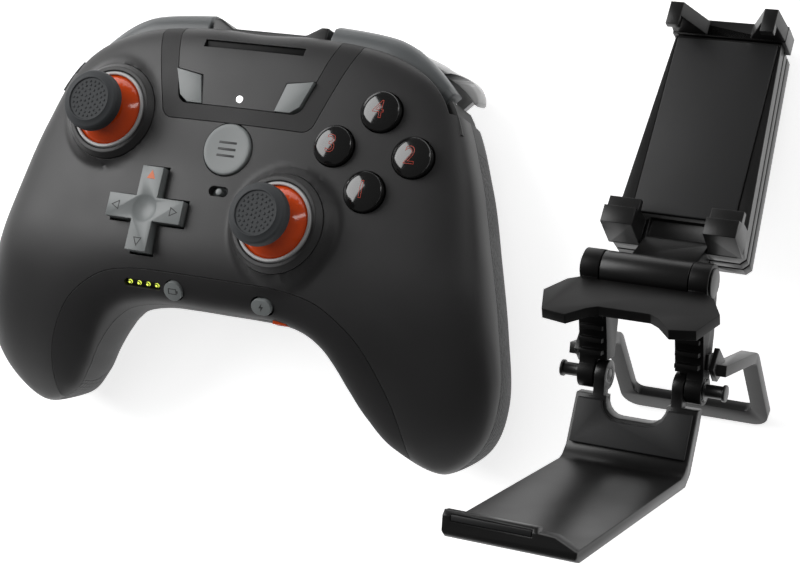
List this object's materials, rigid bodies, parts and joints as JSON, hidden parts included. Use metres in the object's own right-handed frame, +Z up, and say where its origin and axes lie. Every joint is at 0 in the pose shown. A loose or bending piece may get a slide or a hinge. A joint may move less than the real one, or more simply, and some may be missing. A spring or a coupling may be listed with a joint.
{
  "type": "mobile game controller",
  "caption": "Two-handed game pad with tilting sticks, sprung buttons and triggers, lying beside its folding clip that holds a phone above the pad.",
  "frame": {"origin": "middle of the footprint of the pad and its clip, on the table they lie on", "axes": "+X from the pad to the clip, along the pad's width; +Y from the pad's handles to its shoulders; +Z up from the table"},
  "size_m": [0.2146, 0.1218, 0.1168],
  "materials": {
    "shell": "soft-touch moulded, fine grain",
    "dark_band": "fine spark grain",
    "grip": "dotted grip texture",
    "inner_black": "plain moulded",
    "gloss_black": "polished",
    "satin_key": "satin",
    "trigger": "polished",
    "dome": "polished",
    "liner": "satin",
    "cap": "pebbled",
    "steel": "plain",
    "lights": "clear tinted",
    "status": "clear",
    "board": "solder mask",
    "cell": "foil wrap",
    "membrane": "plain",
    "clip": "satin moulded",
    "clip_pad": "matte"
  },
  "bodies": {
    "housing": {"front_shell": "shell", "rear_shell": "dark_band", "centre_panel": "shell", "panel_band": "dark_band", "lower_band": "dark_band", "left_grip": "grip", "right_grip": "grip", "shoulder_bridge": "gloss_black", "shoulder_frame": "inner_black", "shoulder_pins": "steel", "trigger_springs": "steel", "slot_bar": "gloss_black", "left_stick_collar": "shell", "right_stick_collar": "shell", "left_liner_ring": "liner", "right_liner_ring": "liner", "left_stick_module": "inner_black", "right_stick_module": "inner_black", "direction_stud": "inner_black", "battery_lights": "lights", "status_light": "status", "main_board": "board", "battery_cell": "cell", "button_membrane": "membrane", "port_insert": "dome", "housing_screws": "steel", "clip_jaw": "clip", "rear_lever": "clip", "pivot_pins": "clip", "jaw_springs": "steel", "barrel_pin": "clip"},
    "left_yoke": {"left_stick_yoke": "steel"},
    "left_stick": {"left_stick_dome": "dome"},
    "left_cap": {"left_stick_cap": "cap"},
    "right_yoke": {"right_stick_yoke": "steel"},
    "right_stick": {"right_stick_dome": "dome"},
    "right_cap": {"right_stick_cap": "cap"},
    "gimbal": {"gimbal_ring": "inner_black"},
    "direction": {"direction_pad": "satin_key"},
    "north": {"north_button": "gloss_black"},
    "east": {"east_button": "gloss_black"},
    "south": {"south_button": "gloss_black"},
    "west": {"west_button": "gloss_black"},
    "menu": {"menu_button": "satin_key"},
    "select": {"select_button": "satin_key"},
    "start": {"start_button": "satin_key"},
    "battery": {"battery_button": "satin_key"},
    "assist": {"assist_button": "satin_key"},
    "mode": {"mode_switch": "satin_key"},
    "left_bumper": {"left_bumper": "satin_key"},
    "left_trigger": {"left_trigger": "trigger"},
    "right_bumper": {"right_bumper": "satin_key"},
    "right_trigger": {"right_trigger": "trigger"},
    "tray": {"clip_base": "clip", "wall_pad": "clip_pad", "lip_pad": "clip_pad"},
    "cradle": {"cradle_frame": "clip", "phone_pad": "clip_pad", "slider_spring": "steel"},
    "slider": {"cradle_slider": "clip"}
  },
  "joints": [
    {"name": "left_stick_tilt_fore", "type": "hinge", "parent": "housing", "child": "left_yoke", "pos_m": [-0.0688, 0.01905, 0.02769], "axis": [1, 0, 0], "range_deg": [-15, 15], "stiffness_Nm_per_rad": 0.03},
    {"name": "left_stick_tilt_side", "type": "hinge", "parent": "left_yoke", "child": "left_stick", "pos_m": [-0.0688, 0.01905, 0.02769], "axis": [0, 0.9703, -0.2419], "range_deg": [-15, 15], "stiffness_Nm_per_rad": 0.03},
    {"name": "left_stick_press", "type": "slide", "parent": "left_stick", "child": "left_cap", "axis": [0, 0.2419, 0.9703], "range_m": [-0.0006, 0], "stiffness_N_per_m": 1500},
    {"name": "right_stick_tilt_fore", "type": "hinge", "parent": "housing", "child": "right_yoke", "pos_m": [-0.0128, -0.00346, 0.03536], "axis": [1, 0, 0], "range_deg": [-15, 15], "stiffness_Nm_per_rad": 0.03},
    {"name": "right_stick_tilt_side", "type": "hinge", "parent": "right_yoke", "child": "right_stick", "pos_m": [-0.0128, -0.00346, 0.03536], "axis": [0, 0.9703, -0.2419], "range_deg": [-15, 15], "stiffness_Nm_per_rad": 0.03},
    {"name": "right_stick_press", "type": "slide", "parent": "right_stick", "child": "right_cap", "axis": [0, 0.2419, 0.9703], "range_m": [-0.0006, 0], "stiffness_N_per_m": 1500},
    {"name": "direction_tip_fore", "type": "hinge", "parent": "housing", "child": "gimbal", "pos_m": [-0.0509, -0.00512, 0.03243], "axis": [1, 0, 0], "range_deg": [-4, 4], "stiffness_Nm_per_rad": 0.12},
    {"name": "direction_tip_side", "type": "hinge", "parent": "gimbal", "child": "direction", "pos_m": [-0.0509, -0.00512, 0.03243], "axis": [0, 0.9703, -0.2419], "range_deg": [-4, 4], "stiffness_Nm_per_rad": 0.12},
    {"name": "north_press", "type": "slide", "parent": "housing", "child": "north", "axis": [0, 0.2419, 0.9703], "range_m": [-0.0014, 0], "stiffness_N_per_m": 600},
    {"name": "east_press", "type": "slide", "parent": "housing", "child": "east", "axis": [0, 0.2419, 0.9703], "range_m": [-0.0014, 0], "stiffness_N_per_m": 600},
    {"name": "south_press", "type": "slide", "parent": "housing", "child": "south", "axis": [0, 0.2419, 0.9703], "range_m": [-0.0014, 0], "stiffness_N_per_m": 600},
    {"name": "west_press", "type": "slide", "parent": "housing", "child": "west", "axis": [0, 0.2419, 0.9703], "range_m": [-0.0014, 0], "stiffness_N_per_m": 600},
    {"name": "menu_press", "type": "slide", "parent": "housing", "child": "menu", "axis": [0, 0.2419, 0.9703], "range_m": [-0.0008, 0], "stiffness_N_per_m": 700},
    {"name": "select_press", "type": "slide", "parent": "housing", "child": "select", "axis": [0, 0.2419, 0.9703], "range_m": [-0.0008, 0], "stiffness_N_per_m": 700},
    {"name": "start_press", "type": "slide", "parent": "housing", "child": "start", "axis": [0, 0.2419, 0.9703], "range_m": [-0.0008, 0], "stiffness_N_per_m": 700},
    {"name": "battery_press", "type": "slide", "parent": "housing", "child": "battery", "axis": [0, -0.3584, 0.9336], "range_m": [-0.0006, 0], "stiffness_N_per_m": 700},
    {"name": "assist_press", "type": "slide", "parent": "housing", "child": "assist", "axis": [0, -0.3584, 0.9336], "range_m": [-0.0006, 0], "stiffness_N_per_m": 700},
    {"name": "mode_slide", "type": "slide", "parent": "housing", "child": "mode", "axis": [1, 0, 0], "range_m": [-0.0011, 0.0011]},
    {"name": "left_bumper_press", "type": "hinge", "parent": "housing", "child": "left_bumper", "pos_m": [-0.0514, 0.04035, 0.01722], "axis": [0, 0.2419, 0.9703], "range_deg": [0, 2], "stiffness_Nm_per_rad": 0.8},
    {"name": "left_trigger_pull", "type": "hinge", "parent": "housing", "child": "left_trigger", "pos_m": [-0.0623, 0.03769, 0.01026], "axis": [1, 0, 0], "range_deg": [-16, 0], "stiffness_Nm_per_rad": 0.05, "springref_deg": 5.73},
    {"name": "right_bumper_press", "type": "hinge", "parent": "housing", "child": "right_bumper", "pos_m": [-0.0122, 0.04035, 0.01722], "axis": [0, 0.2419, 0.9703], "range_deg": [-2, 0], "stiffness_Nm_per_rad": 0.8},
    {"name": "right_trigger_pull", "type": "hinge", "parent": "housing", "child": "right_trigger", "pos_m": [-0.0013, 0.03769, 0.01026], "axis": [1, 0, 0], "range_deg": [-16, 0], "stiffness_Nm_per_rad": 0.05, "springref_deg": 5.73},
    {"name": "jaw_open", "type": "hinge", "parent": "housing", "child": "tray", "pos_m": [0.087, -0.0254, 0.0453], "axis": [1, 0, 0], "range_deg": [0, 35], "stiffness_Nm_per_rad": 0.06, "springref_deg": -34.38},
    {"name": "cradle_fold", "type": "hinge", "parent": "housing", "child": "cradle", "pos_m": [0.087, -0.00122, 0.04965], "axis": [1, 0, 0], "range_deg": [0, 100]},
    {"name": "claw_slide", "type": "slide", "parent": "cradle", "child": "slider", "axis": [0, 0.9092, -0.4163], "range_m": [0, 0.026]}
  ]
}
